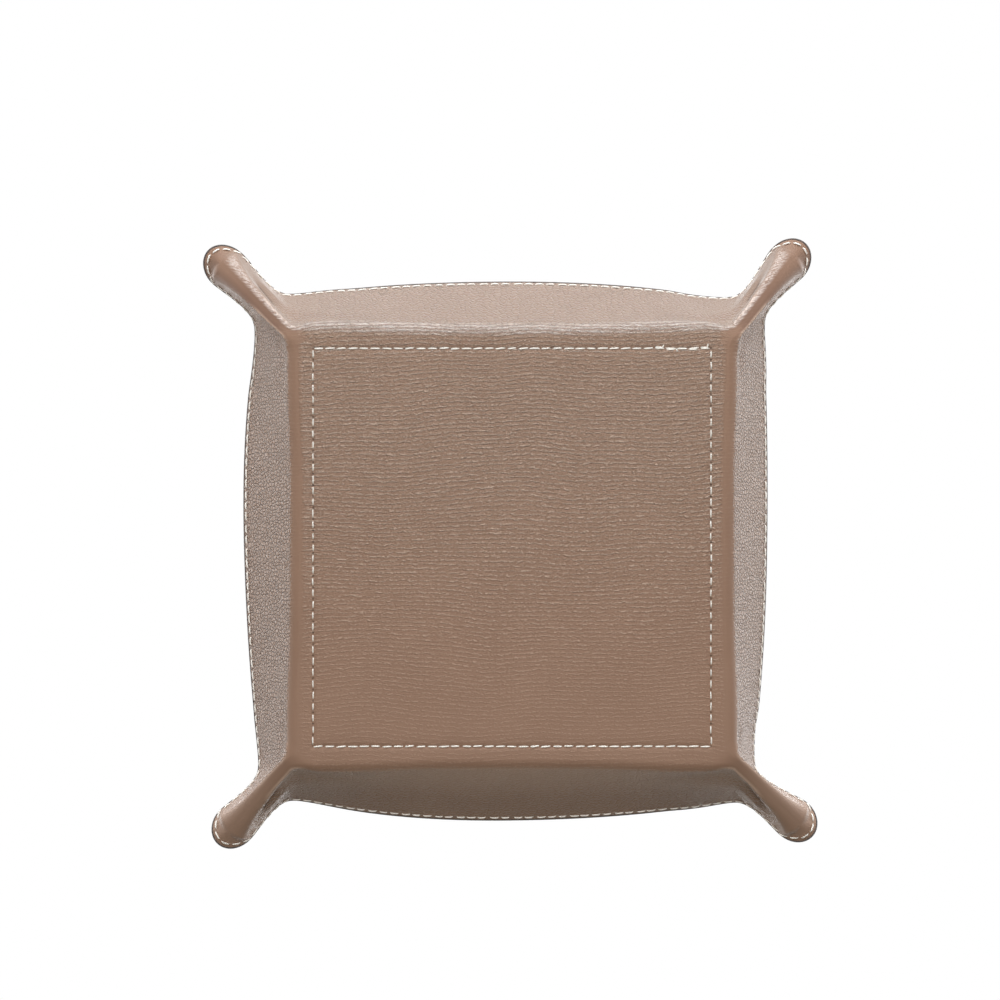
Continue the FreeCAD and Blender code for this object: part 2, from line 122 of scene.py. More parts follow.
# Share of the bend where the wall's look starts and is full, and what neck and spoon add
WALL_FROM = (0.55, -0.23, -0.3)
WALL_FULL = (1.15, -0.28, 0.5)
EAR_ZONE = (-3.0, 20.0)
TIP_ZONE = (18.0, 33.0)
FOLD_EDGE = 1.4
CORNER_FOLD = (-3.6, -2.2)
FRONT_CORNER_SIDE = (-3.0, 1.0)
FRONT_CORNER_OUT = (0.0, 4.0)
# Lattice of the base
LATTICE_HALF = 57.0
LATTICE_COUNT = 58
LATTICE_GAP = 0.5
SEAM_ROWS = (-1.3, -0.75, -0.35, 0.0, 0.35, 0.75, 1.3, 2.0, 2.6, 3.1)
SPINE_COUNT = 40
MERGE = 1e-7

ROOT_HALF = math.sqrt(0.5)
PITCH = math.radians(RIDGE_PITCH)
BEND_RUN = RIDGE_BEND * math.sin(PITCH)
BEND_END = RIDGE_START + BEND_RUN
STACK = LEATHER + LINING
SEAM_HALF = BASE_HALF - BASE_SEAM_INSET
BOARD_HALF = SEAM_HALF - SEAM_TO_BOARD
PANEL_RISE = BOARD + BOARD_CLEARANCE
FILLET_TANGENT = RIDGE_FILLET * math.tan(math.pi / 8)
FILLET_A = -RIDGE_FLAT / ROOT_HALF - FILLET_TANGENT
STRIP_START = -RIDGE_FLAT + FILLET_TANGENT
LENGTH_WALL = BASE_HALF + FILLET_A
LENGTH_FILLET = LENGTH_WALL + RIDGE_FILLET * math.pi / 4
LENGTH_STRIP = LENGTH_FILLET + EAR_STRIP_END - STRIP_START
LENGTH_END = LENGTH_STRIP + RIDGE_FLAT * math.pi / 2
ELLIPSE_EASE = 4.0 / 3.0 * (math.sqrt(2.0) - 1.0)


def along_across(outward_a, outward_b):
    return (outward_a + outward_b) * ROOT_HALF, (outward_b - outward_a) * ROOT_HALF


def smooth_step(low, high, value):
    share = np.clip((value - low) / (high - low), 0.0, 1.0)
    return share * share * (3.0 - 2.0 * share)


def ridge_height(along):
    run = np.maximum(along - RIDGE_START, 0.0)
    bend = np.minimum(run, BEND_RUN)
    return RIDGE_BEND - np.sqrt(RIDGE_BEND**2 - bend**2) + (run - bend) * math.tan(PITCH)


def ridge_slope(along):
    run = np.clip(along - RIDGE_START, 0.0, BEND_RUN)
    return np.tan(np.arcsin(run / RIDGE_BEND))


def fold_line(length):
    """Place along and across the diagonal, and the direction square to the fold line there."""
    angle = np.clip(length - LENGTH_WALL, 0.0, None) / RIDGE_FILLET
    straight = np.minimum(length - LENGTH_WALL, 0.0)
    drawn_in = FOLD_BOW * smooth_step(0.0, FOLD_BOW_RUN, -straight)
    wall = along_across(
        FILLET_A + straight + RIDGE_FILLET * np.sin(angle),
        RIDGE_FILLET * (1.0 - np.cos(angle)) - drawn_in,
    )
    wall_way = along_across(-np.sin(angle), np.cos(angle))
    turn = np.clip(length - LENGTH_STRIP, 0.0, None) / RIDGE_FLAT
    run = np.minimum(length, LENGTH_STRIP) - LENGTH_FILLET
    strip = (STRIP_START + run + RIDGE_FLAT * np.sin(turn), RIDGE_FLAT * np.cos(turn))
    strip_way = (np.sin(turn), np.cos(turn))
    on_wall = length <= LENGTH_FILLET
    place = [np.where(on_wall, a, b) for a, b in zip(wall, strip)]
    way = [np.where(on_wall, a, b) for a, b in zip(wall_way, strip_way)]
    return place, way


def fillet_length(along):
    middle = (FILLET_A + RIDGE_FILLET) * ROOT_HALF
    return LENGTH_WALL + RIDGE_FILLET * (math.pi / 4 + math.asin((along - middle) / RIDGE_FILLET))


LIFT_RADIUS = LIFT_ROLL_SHARE * ROLL_RADIUS + (1.0 - LIFT_ROLL_SHARE) * FOLD_RADIUS
STATIONS = {
    "length": (
        0.0,
        LENGTH_WALL,
        fillet_length(RIDGE_START),
        fillet_length(BEND_END),
        LENGTH_FILLET,
        LENGTH_STRIP,
        LENGTH_END,
    ),
    "rim": (0.0, RIM_AT_WALL_END, RIM_AT_LIFT, RIM_AT_BEND_END, RIM_AT_STRIP, 2.0, 3.0),
    "radius": (ROLL_RADIUS, ROLL_RADIUS, LIFT_RADIUS, FOLD_RADIUS, FOLD_RADIUS, CUP_RADIUS, CUP_RADIUS),
}
STRIP_STATION = 4
LAST_STATION = len(STATIONS["rim"]) - 1


def station_slopes(values):
    steps = np.diff(values)
    slopes = np.zeros(len(values))
    slopes[0], slopes[-1] = steps[0], steps[-1]
    before, after = steps[:-1], steps[1:]
    same = before * after > 0.0
    slopes[1:-1][same] = 2.0 * before[same] * after[same] / (before[same] + after[same])
    return slopes


SLOPES = {field: station_slopes(np.array(values)) for field, values in STATIONS.items()}


def at_station(field, place):
    values, slopes = np.array(STATIONS[field]), SLOPES[field]
    index = np.clip(place.astype(int), 0, LAST_STATION - 1)
    share = place - index
    change = values[index + 1] - values[index]
    start, end = slopes[index], slopes[index + 1]
    square = 3.0 * change - 2.0 * start - end
    cube = start + end - 2.0 * change
    return values[index] + share * (start + share * (square + share * cube))


def bend_radius(place):
    """Radius of the bend, which opens into a spoon over the last part of the ear."""
    late = np.clip(place - STRIP_STATION, 0.0, 1.0) ** 2
    spoon = FOLD_RADIUS + (CUP_RADIUS - FOLD_RADIUS) * smooth_step(0.0, 1.0, late)
    return np.where(place > STRIP_STATION, spoon, at_station("radius", place))


def unit(vectors):
    return vectors / np.maximum(np.linalg.norm(vectors, axis=-1, keepdims=True), 1e-12)


class Octant:
    """Half a corner and half the wall beside it: bends from the fold line that run on to the rim."""

    def __init__(self, name, side):
        self.side = side
        self.sx, self.sy, self.swing, self.reach, neck_x, neck_y = CORNERS[name]
        self.wall = (side, self.sx if side == "x" else self.sy)
        extra = (neck_x if side == "x" else neck_y) * ROOT_HALF
        middle = np.array([*along_across(-BASE_HALF, WALL_SPREAD + WALL_EXTRA[self.wall]), WALL_RISE])
        skew = WALL_SKEW[self.wall] * (self.sy if side == "x" else self.sx)
        bow = np.array([*along_across(WALL_BOW, WALL_BOW * skew), 0.0])
        neck = np.array([NECK_REACH + extra, NECK_HALF + extra, NECK_RISE])
        slant = math.radians(NECK_SLANT)
        neck_way = np.array([math.cos(slant), math.sin(slant), 0.0])
        shoulder = np.array([EAR_SHOULDER, EAR_HALF, EAR_RISE])
        tip_height = float(ridge_height(EAR_REACH)) + TIP_CURL
        tip = np.array([EAR_REACH, 0.0, tip_height])
        droop = (tip_height - EAR_RISE) * ELLIPSE_EASE
        shoulder_ease = np.array([(EAR_REACH - EAR_SHOULDER) * ELLIPSE_EASE, 0.0, droop])
        tip_ease = np.array([0.0, EAR_HALF * ELLIPSE_EASE, 0.0])
        self.rim = np.array(
            [
                [middle, middle + bow, neck - neck_way * NECK_EASE, neck],
                [neck, neck + neck_way * NECK_LEAVE, shoulder - shoulder_ease, shoulder],
                [shoulder, shoulder + shoulder_ease, tip + tip_ease, tip],
            ]
        )
        self.flip = self.sx * self.sy * (1 if side == "y" else -1)

    def flow(self, place):
        """Start, directions, radius, turn and straight run from the fold to the rim."""
        (along, across), (ahead, aside) = fold_line(at_station("length", place))
        start = np.stack([along, across, ridge_height(along)], -1)
        first = unit(np.stack([ahead, aside, ahead * ridge_slope(along)], -1))
        value = at_station("rim", place)
        index = np.clip(value.astype(int), 0, len(self.rim) - 1)
        share = value - index
        rest = 1.0 - share
        weights = np.stack([rest**3, 3.0 * rest**2 * share, 3.0 * rest * share**2, share**3], -1)
        goal = np.einsum("nk,nkd->nd", weights, self.rim[index])
        reach = goal - start
        flat = np.sum(reach * first, -1)
        second = reach - first * flat[:, None]
        rise = np.linalg.norm(second, axis=-1)
        second = unit(second)
        radius = bend_radius(place)
        distance = np.hypot(flat, rise - radius)
        turn = np.arctan2(rise - radius, flat) + np.arcsin(np.minimum(radius / distance, 1.0))
        straight = np.sqrt(np.maximum(distance**2 - radius**2, 0.0))
        return start, first, second, radius, turn, straight

    def local(self, place, share):
        """Outside of the sheet: along the corner's diagonal, across it and up."""
        start, first, second, radius, turn, straight = self.flow(place)
        travel = share * (radius * turn + straight)
        angle = np.minimum(travel / radius, turn)
        rest = np.maximum(travel - radius * turn, 0.0)
        flat = radius * np.sin(angle) + rest * np.cos(angle)
        rise = radius * (1.0 - np.cos(angle)) + rest * np.sin(angle)
        local = start + first * flat[:, None] + second * rise[:, None]
        lift = local[:, 2] - ridge_height(local[:, 0])
        fade = np.where(local[:, 0] < NECK_REACH, PINCH_LEAD, PINCH_TAIL)
        weight = np.exp(-(((local[:, 0] - NECK_REACH) / fade) ** 2) - ((lift - PINCH_LIFT) / PINCH_BAND) ** 2)
        local[:, 1] += np.minimum(PINCH_GAP / 2.0 + STACK - local[:, 1], 0.0) * weight
        if self.side == "y":
            near = np.exp(-(((local[:, 0] - SLIT_ALONG) / SLIT_RUN) ** 4))
            for middle, band, swell in SWELLINGS:
                local[:, 1] += near * swell * np.exp(-(((lift - middle) / band) ** 2))
        return local

    def slit(self, local):
        """How deep a place lies in the slit at the pinch, which sets the slit's painted shade."""
        if self.side == "x":
            return np.zeros(len(local))
        lift = local[:, 2] - ridge_height(local[:, 0])
        return np.exp(-(((local[:, 0] - SLIT_ALONG) / SLIT_RUN) ** 4) - ((lift - SLIT_LIFT) / SLIT_BAND) ** 2)

    def world(self, local):
        """The same place in the tray, with the corner's own reach, swing and lean."""
        along, across, height = local.T
        past = np.maximum(along - BEND_END, 0.0)
        stretched = along + self.reach * past / (EAR_REACH - BEND_END)
        towards_y = across if self.side == "y" else -across
        full = smooth_step(SWING_START, BEND_END, along)
        narrow = 1.0 - smooth_step(SWING_WIDTH, SWING_FADE, np.abs(across))
        low = 1.0 - smooth_step(0.0, LEAN_LIFT, height - ridge_height(along))
        to_tip = smooth_step(BEND_END, EAR_REACH, along)
        towards_y = towards_y - FOLD_LEAN * full * narrow * low * (1.0 - to_tip)
        turn = math.radians(self.swing) * full * narrow
        out = stretched * np.cos(turn) - towards_y * np.sin(turn)
        sideways = stretched * np.sin(turn) + towards_y * np.cos(turn)
        x = BASE_HALF + (out - sideways) * ROOT_HALF
        y = BASE_HALF + (out + sideways) * ROOT_HALF
        return np.stack([self.sx * x, self.sy * y, height], -1)

    def point(self, place, share):
        return self.world(self.local(place, share))

    def length(self, place):
        radius, turn, straight = self.flow(place)[3:]
        return radius * turn + straight

    def around(self, place, share):
        """Direction along the rim."""
        inner = np.clip(place, STEP, LAST_STATION - STEP)
        way = self.point(inner + STEP, share) - self.point(inner - STEP, share)
        local = self.local(place, share)
        over_tip = np.array([0.0, -STEP, 0.0])
        tip = place >= LAST_STATION
        way[tip] = (self.world(local + over_tip) - self.world(local - over_tip))[tip]
        return way

    def floor_point(self, along, across):
        return self.world(np.stack([along, across, ridge_height(along)], -1))

    def normal(self, place, share):
        """Unit direction from the leather's outside into the tray."""
        up = self.point(place, np.minimum(share + STEP, 1.0)) - self.point(place, np.maximum(share - STEP, 0.0))
        result = np.cross(self.around(place, share), up) * self.flip
        floor = share <= 0.0
        (along, across), _ = fold_line(at_station("length", place))
        outward = self.floor_point(along + STEP, across) - self.floor_point(along - STEP, across)
        aside = self.floor_point(along, across + STEP) - self.floor_point(along, across - STEP)
        result[floor] = (np.cross(outward, aside) * self.flip)[floor]
        return unit(result)

    def flat_fold(self, place):
        """The fold line in the flat sheet."""
        (along, across), _ = fold_line(at_station("length", place))
        towards_y = across if self.side == "y" else -across
        x = self.sx * (BASE_HALF + (along - towards_y) * ROOT_HALF)
        y = self.sy * (BASE_HALF + (along + towards_y) * ROOT_HALF)
        return x, y

    def pattern(self, place, share):
        """Place in the flat sheet: out from the fold line, and along the wall as it stands."""
        x, y = self.flat_fold(place)
        travel = share * self.length(place)
        world = self.point(place, share)
        if self.side == "x":
            return np.stack([x + self.sx * travel, world[:, 1]], -1)
        return np.stack([world[:, 0], y + self.sy * travel], -1)

    def zone(self, place, share):
        """Wall, fold and ear shares, and a mark: above 0 for the painted shade in a slit, below 0 for the painted
        highlight streak along the front roll.
        """
        radius, turn, straight = self.flow(place)[3:]
        bend = share * (radius * turn + straight) / (radius * turn)
        local = self.local(place, share)
        fold = np.ones_like(place)
        if self.side == "y":
            fold = smooth_step(*FOLD_FADE, place - (FRONT_FOLD_DELAY if self.sy < 0 else 0.0))
        narrow = smooth_step(*NARROWING, place)
        spoon = smooth_step(*SPOON, place)
        # Painted shade in the slit
        mark = self.slit(local)
        # Painted highlight: a streak along the front roll
        if self.wall == ("y", -1):
            ends = 1.0 - LIT_FADE * narrow
            lit = smooth_step(0.0, LIT_FROM, bend) * (1.0 - smooth_step(ends, ends + LIT_FADE, bend))
            mark -= lit * (1.0 - smooth_step(*STREAK_END, place))
        limits = (one + neck * narrow + ear * spoon for one, neck, ear in (WALL_FROM, WALL_FULL))
        wall = smooth_step(*limits, bend)
        wall = wall * (1.0 - smooth_step(*WALL_END[self.side], place))
        return np.stack([wall, fold, ear_zone(local[:, 0]), mark], -1)


OCTANTS = {(name, side): Octant(name, side) for name in CORNERS for side in ("y", "x")}
# The octants in their order round the rim, and the way along each
RIM_WALK = [
    (name, side, way)
    for name, sides in (("rear_right", "xy"), ("rear_left", "yx"), ("front_left", "xy"), ("front_right", "yx"))
    for side, way in zip(sides, (slice(None), slice(None, None, -1)))
]

# Fine grid of the sheets
GRID_STEPS = (24, 6, 10, 4, 28, 14)
GRID_ROWS = 46
GRID_EASE = 1.25
PLACES = np.array([i + s / n for i, n in enumerate(GRID_STEPS) for s in range(n)] + [LAST_STATION], float)
SHARES = (np.arange(GRID_ROWS + 1) / GRID_ROWS) ** GRID_EASE
LAST_COLUMN = len(PLACES) - 1


def ear_zone(along):
    """0 on the tray, 1 on the ear, 2 at its tip."""
    return smooth_step(*EAR_ZONE, along) + smooth_step(*TIP_ZONE, along)


def base_lattice():
    """Points inside the fold line: an even lattice, with closer rows beside the seam."""
    even = np.linspace(-LATTICE_HALF, LATTICE_HALF, LATTICE_COUNT)
    rows = np.sort(np.concatenate([even, *[[-SEAM_HALF - d, SEAM_HALF + d] for d in SEAM_ROWS]]))
    grid = np.stack(np.meshgrid(rows, rows, indexing="ij"), -1).reshape(-1, 2)
    return grid[np.max(np.abs(grid), axis=1) < BASE_HALF - FOLD_BOW - LATTICE_GAP]


class Sheet:
    """Points and faces of a leather sheet between two depths below the outside of the tray."""

    def __init__(self, outside, inside, shape_base):
        self.shape_base = shape_base
        self.parts, self.faces = [], []
        self.count = 0
        skins = [self.add_skin(depth, depth == outside) for depth in (outside, inside)]
        self.close_rim(*skins)

    def add_points(self, points, pattern, zone):
        self.parts.append((points, pattern, zone))
        self.count += len(points)
        return np.arange(self.count - len(points), self.count)

    def add_skin(self, depth, is_outside):
        grids = {}
        numbers = {}
        place, share = [a.ravel() for a in np.meshgrid(PLACES, SHARES, indexing="ij")]
        for (name, side), octant in OCTANTS.items():
            points = octant.point(place, share) + octant.normal(place, share) * depth
            new = self.add_points(points, octant.pattern(place, share), octant.zone(place, share))
            grid = new.reshape(len(PLACES), len(SHARES))
            for column, mate in ((0, octant.wall), (LAST_COLUMN, name)):
                if mate in numbers:
                    grid[column] = numbers[mate]
                numbers[mate] = grid[column]
            grids[name, side] = grid
        for key, grid in grids.items():
            quads = np.stack([grid[:-1, :-1], grid[1:, :-1], grid[1:, 1:], grid[:-1, 1:]], -1).reshape(-1, 4)
            turned = (OCTANTS[key].flip > 0) == is_outside
            self.faces += (quads[:, ::-1] if turned else quads).tolist()
        self.add_base(grids, depth, is_outside)
        return grids

    def add_base(self, grids, depth, is_outside):
        """The flat base and the strips under the ears, inside the fold line."""
        loop, flat = [], []
        for name, side, way in RIM_WALK:
            loop += grids[name, side][:, 0][way][:-1].tolist()
            flat.append(np.stack(OCTANTS[name, side].flat_fold(PLACES), -1)[way][:-1])
        out = BASE_HALF + np.linspace(RIDGE_START - 1.0, EAR_STRIP_END, SPINE_COUNT) * ROOT_HALF
        spines = [np.stack([sx * out, sy * out], -1) for sx, sy, *_ in CORNERS.values()]
        flat = np.concatenate([*flat, base_lattice(), *spines])
        found = delaunay_2d_cdt([Vector(p) for p in flat], [], [list(range(len(loop)))], 1, MERGE)
        places, triangles, origins = np.array([list(v) for v in found[0]]), *found[2:4]
        aside, ahead = np.abs(places).T
        drawn_in = FOLD_BOW * smooth_step(0.0, FOLD_BOW_RUN, LENGTH_WALL - ahead)
        along = (aside + ahead) * ROOT_HALF - BASE_HALF / ROOT_HALF
        fold = smooth_step(FOLD_EDGE, 0.0, BASE_HALF - drawn_in - aside)
        corner = smooth_step(*CORNER_FOLD, along)
        beside = np.maximum(smooth_step(*FRONT_CORNER_SIDE, aside - ahead), smooth_step(*FRONT_CORNER_OUT, along))
        fold = np.maximum(fold, np.where(places[:, 1] < 0.0, corner * beside, corner))
        none = np.zeros(len(places))
        zone = np.stack([none, fold, ear_zone(along), none], -1)
        new = self.add_points(self.base_points(places, depth, is_outside), places, zone)
        numbers = []
        for index, source in enumerate(origins):
            on_border = [number for number in source if number < len(loop)]
            numbers.append(loop[on_border[0]] if on_border else int(new[index]))
        for face in triangles:
            corners = [numbers[i] for i in face]
            self.faces.append(corners[::-1] if is_outside else corners)

    def base_points(self, places, depth, is_outside):
        x, y = places.T
        along = (np.abs(x) + np.abs(y)) * ROOT_HALF - BASE_HALF / ROOT_HALF
        across = (np.abs(y) - np.abs(x)) * ROOT_HALF
        world = np.zeros((len(places), 3))
        for corner in CORNERS:
            octant = OCTANTS[corner, "y"]
            mine = (np.where(x < 0, -1, 1) == octant.sx) & (np.where(y < 0, -1, 1) == octant.sy)
            world[mine] = octant.floor_point(along[mine], across[mine])
        slope = np.arctan(ridge_slope(along))
        outward = np.stack([np.sign(x), np.sign(y)], -1) * ROOT_HALF
        world[:, :2] -= outward * (np.sin(slope) * depth)[:, None]
        world[:, 2] += np.cos(slope) * depth
        world[:, 2] += self.shape_base(x, y, is_outside)
        return world

    def close_rim(self, outer, inner):
        for key, grid in outer.items():
            a, b = grid[:, -1], inner[key][:, -1]
            quads = np.stack([a[:-1], a[1:], b[1:], b[:-1]], -1)
            self.faces += (quads[:, ::-1] if OCTANTS[key].flip > 0 else quads).tolist()

    def build(self, name):
        points, pattern, zone = map(np.concatenate, zip(*self.parts))
        used = np.zeros(len(points), bool)
        for face in self.faces:
            used[face] = True
        renumber = np.cumsum(used) - 1
        faces = [[int(renumber[i]) for i in face] for face in self.faces]
        return make_mesh(name, points[used], faces, pattern[used], zone[used])


def add_object(name, data):
    thing = bpy.data.objects.new(name, data)
    bpy.context.scene.collection.objects.link(thing)
    return thing


def make_mesh(name, points, faces, pattern=None, zone=None):
    mesh = bpy.data.meshes.new(name)
    mesh.from_pydata((np.asarray(points) * MM).tolist(), [], faces)
    mesh.validate()
    mesh.polygons.foreach_set("use_smooth", np.ones(len(mesh.polygons), bool))
    if pattern is not None:
        layer = mesh.uv_layers.new(name="pattern")
        corners = np.zeros(len(mesh.loops), int)
        mesh.loops.foreach_get("vertex_index", corners)
        layer.data.foreach_set("uv", np.asarray(pattern)[corners].ravel().astype(np.float32))
    if zone is not None:
        attribute = mesh.attributes.new("zone", "FLOAT_VECTOR", "POINT")
        attribute.data.foreach_set("vector", zone[:, :3].ravel().astype(np.float32))
        # Marks for painted shade in the slits and painted highlight along the front roll
        attribute = mesh.attributes.new("slit_shade_and_highlight_mark", "FLOAT", "POINT")
        attribute.data.foreach_set("value", zone[:, 3].astype(np.float32))
    mesh.update()
    return add_object(name, mesh)


# Shapes of the base: the seam draws the outer leather in, and the lining climbs on to the board
SEAM_DIP = 0.4
SEAM_DIP_WIDTH = 0.6
LINING_DIP_SHARE = 0.6
BOARD_CORNER_CUT = 3.0
LINING_CLIMB = 1.1


def seam_dip(x, y, depth):
    off_seam = np.maximum(np.abs(x), np.abs(y)) - SEAM_HALF
    return depth * np.exp(-((off_seam / SEAM_DIP_WIDTH) ** 2))


def outer_base(x, y, is_outside):
    return seam_dip(x, y, SEAM_DIP if is_outside else 0.0)


def lining_base(x, y, is_outside):
    edge = np.maximum(np.abs(x), np.abs(y))
    corner = (np.abs(x) + np.abs(y)) * ROOT_HALF
    clip = (2.0 * BOARD_HALF - BOARD_CORNER_CUT) * ROOT_HALF
    rise = 1.0 - smooth_step(BOARD_HALF, BOARD_HALF + LINING_CLIMB, edge)
    rise = rise * (1.0 - smooth_step(clip, clip + LINING_CLIMB, corner))
    return PANEL_RISE * rise - seam_dip(x, y, 0.0 if is_outside else SEAM_DIP * LINING_DIP_SHARE)


# Threads
RING = 8
STATION_COUNT = 9
THREAD_WIDTH = 0.52
THREAD_HEIGHT = 0.5
# Shares of the height: the middle's lift, also half the thread, and how far the ends sink
THREAD_LIFT = 0.52
THREAD_SINK = 0.75
STITCH_BLUNT = 3.2
STITCH_END = 0.15
BASE_STITCH = 3.15
SIDE_STITCH_LOSS = (0.7, 0.07)
RIM_STITCH = 2.95
RIM_SAMPLES = 900
# Spread of place and length, and the slant's middle and spread in degrees
UNEVEN_ALONG = 0.07
UNEVEN_ACROSS = 0.05
UNEVEN_BASE = 0.18
UNEVEN_RIM = 0.14
END_SLANT = (2.5, 2.5)
SIDE_SLANT = (0.5, 1.0)
RIM_SLANT = (3.5, 2.5)
# Back stitches and loose ends, from the seam's corner: x, y, lift, length, width, height and slant
SEAM_END = (
    (-15.9, -0.35, 0.0, 2.7, 0.5, 0.5, -2.0),
    (-12.3, 0.3, 0.0, 2.7, 0.5, 0.5, 2.5),
    (-5.4, 0.28, 0.0, 2.7, 0.5, 0.5, 2.0),
    (-2.0, -0.3, 0.0, 2.7, 0.5, 0.5, -4.0),
    (-1.0, -0.9, 0.1, 1.9, 0.4, 0.4, 80.0),
    (-14.6, -0.7, 0.1, 1.2, 0.4, 0.4, 70.0),
    (-10.4, 0.5, 0.1, 1.1, 0.4, 0.4, -65.0),
)


def thread_stitch(place, along, up, length, width, height, slant):
    """A stitch: a short thread that comes up out of the leather, arches over and goes down again."""
    aside = np.cross(up, along)
    turned = along * math.cos(slant) + aside * math.sin(slant)
    beside = np.cross(up, turned)
    points = []
    for t in np.linspace(-1.0, 1.0, STATION_COUNT):
        swell = math.sqrt(max(1.0 - abs(t) ** STITCH_BLUNT, 0.0)) * (1.0 - STITCH_END) + STITCH_END
        lift = height * (THREAD_LIFT - THREAD_SINK * abs(t) ** 4)
        centre = place + turned * (t * length / 2.0) + up * lift
        for k in range(RING):
            angle = 2.0 * math.pi * k / RING
            points.append(
                centre
                + beside * math.cos(angle) * width / 2.0 * swell
                + up * math.sin(angle) * height * THREAD_LIFT * swell
            )
    faces = []
    for ring in range(STATION_COUNT - 1):
        for k in range(RING):
            a, b = ring * RING + k, ring * RING + (k + 1) % RING
            faces.append([a, b, b + RING, a + RING])
    faces.append(list(range(RING))[::-1])
    faces.append(list(range((STATION_COUNT - 1) * RING, STATION_COUNT * RING)))
    return points, faces


def thread_piece(name, stitches):
    """One seam's stitches as one mesh."""
    points, faces = [], []
    for stitch in stitches:
        new_points, new_faces = thread_stitch(*stitch)
        offset = len(points)
        points += new_points
        faces += [[i + offset for i in face] for face in new_faces]
    return make_mesh(name, points, faces)


def base_stitches(height, up):
    """The square seam of the base, on one face."""
    count = round(2.0 * SEAM_HALF / STITCH_PITCH)
    pitch = 2.0 * SEAM_HALF / count
    up = np.array([0.0, 0.0, up])
    stitches = []
    for turn in range(4):
        c, s = round(math.cos(turn * math.pi / 2)), round(math.sin(turn * math.pi / 2))
        spin = np.array([[c, -s, 0], [s, c, 0], [0, 0, 1]], float)
        for index in range(count):
            x = (index + 0.5) * pitch - SEAM_HALF + RNG.normal(0.0, UNEVEN_ALONG)
            place = spin @ np.array([x, -SEAM_HALF + RNG.normal(0.0, UNEVEN_ACROSS), height])
            slant = math.radians(RNG.normal(*(SIDE_SLANT if turn % 2 else END_SLANT)))
            shorter, thinner = SIDE_STITCH_LOSS if turn % 2 else (0.0, 0.0)
            long = BASE_STITCH - shorter + RNG.normal(0.0, UNEVEN_BASE)
            wide = THREAD_WIDTH - thinner
            stitches.append((place, spin @ np.array([1.0, 0, 0]), up, long, wide, THREAD_HEIGHT, slant))
    return stitches


def seam_end(height):
    """Back stitches that lock the seam at the front right corner, and the thread's short end."""
    down = np.array([0.0, 0.0, -1.0])
    way = np.array([1.0, 0.0, 0.0])
    stitches = []
    for x, y, lift, long, wide, high, slant in SEAM_END:
        place = np.array([SEAM_HALF + x, -SEAM_HALF + y, height - lift])
        stitches.append((place, way, down, long, wide, high, math.radians(slant)))
    return stitches


def rim_stitches(depth, side):
    """The seam round the rim and the ears, on one face."""
    stitches = []
    for octant in OCTANTS.values():
        places = np.linspace(0.0, LAST_STATION, RIM_SAMPLES)
        shares = 1.0 - RIM_SEAM_INSET / octant.length(places)
        normal = octant.normal(places, shares)
        line = octant.point(places, shares) + normal * depth
        travel = np.concatenate([[0.0], np.cumsum(np.linalg.norm(np.diff(line, axis=0), axis=1))])
        count = round(travel[-1] / STITCH_PITCH)
        goals = (np.arange(count) + 0.5) * travel[-1] / count
        for goal in goals:
            i = min(int(np.searchsorted(travel, goal)), len(line) - 2)
            up = normal[i] * side
            along = unit(line[i + 1] - line[i])
            along = unit(along - up * along.dot(up))
            slant = math.radians(RNG.normal(*RIM_SLANT))
            long = RIM_STITCH + RNG.normal(0.0, UNEVEN_RIM)
            stitches.append((line[i], along, up, long, THREAD_WIDTH, THREAD_HEIGHT, slant))
    return stitches


# Painted cut edge
EDGE_BULGE = 0.5
EDGE_WRAP = 0.5
EDGE_PROUD = 0.08
EDGE_ARC = 9
EDGE_STEP = 0.01


def edge_paint():
    """A rounded bead of paint over the cut edges of both leathers."""
    loop_points, pattern = [], []
    half = STACK / 2.0 + EDGE_PROUD
    for name, side, way in RIM_WALK:
        octant = OCTANTS[name, side]
        place = PLACES[way][:-1]
        rim = np.ones_like(place)
        outer = octant.point(place, rim)
        normal = octant.normal(place, rim)
        up = unit(outer - octant.point(place, rim - EDGE_STEP))
        centre = outer + normal * STACK / 2.0
        section = [centre - normal * half - up * EDGE_WRAP]
        for k in range(EDGE_ARC):
            angle = math.pi * k / (EDGE_ARC - 1)
            section.append(centre - normal * half * math.cos(angle) + up * EDGE_BULGE * math.sin(angle))
        section.append(centre + normal * half - up * EDGE_WRAP)
        loop_points.append(np.stack(section, 1))
        pattern.append(octant.pattern(place, rim))
    rings = np.concatenate(loop_points)
    count, across = rings.shape[:2]
    flat_pattern = np.repeat(np.concatenate(pattern), across, axis=0)
    faces = []
    for i in range(count):
        j = (i + 1) % count
        for k in range(across):
            n = (k + 1) % across
            faces.append([i * across + k, j * across + k, j * across + n, i * across + n])
    return make_mesh("edge_paint", rings.reshape(-1, 3), faces, flat_pattern)


# Looks. Places in the flat pattern are in millimetres, u to the right and v to the rear
LINE_PITCH = 1.32
LINE_SHARPNESS = 4.2
SWAY_TURN = 8.0
DRIFT_TURN = 45.0
WALL_LINE_LOSS = 0.65
WALL_PITCH_EASE = 0.4
PEBBLE_SCALE = (0.55, 0.86)
LINING_PEBBLE_SCALE = (0.95, 1.1)
PEBBLE_EDGE = 0.22
FOLD_NEAR = 62.0
FOLD_FAR = 68.0
LIT_RUN = 40.0
WALL_GRAIN = 0.92
NECK_SPAN = (0.02, 0.2)
MICRO_RELIEF = 0.05
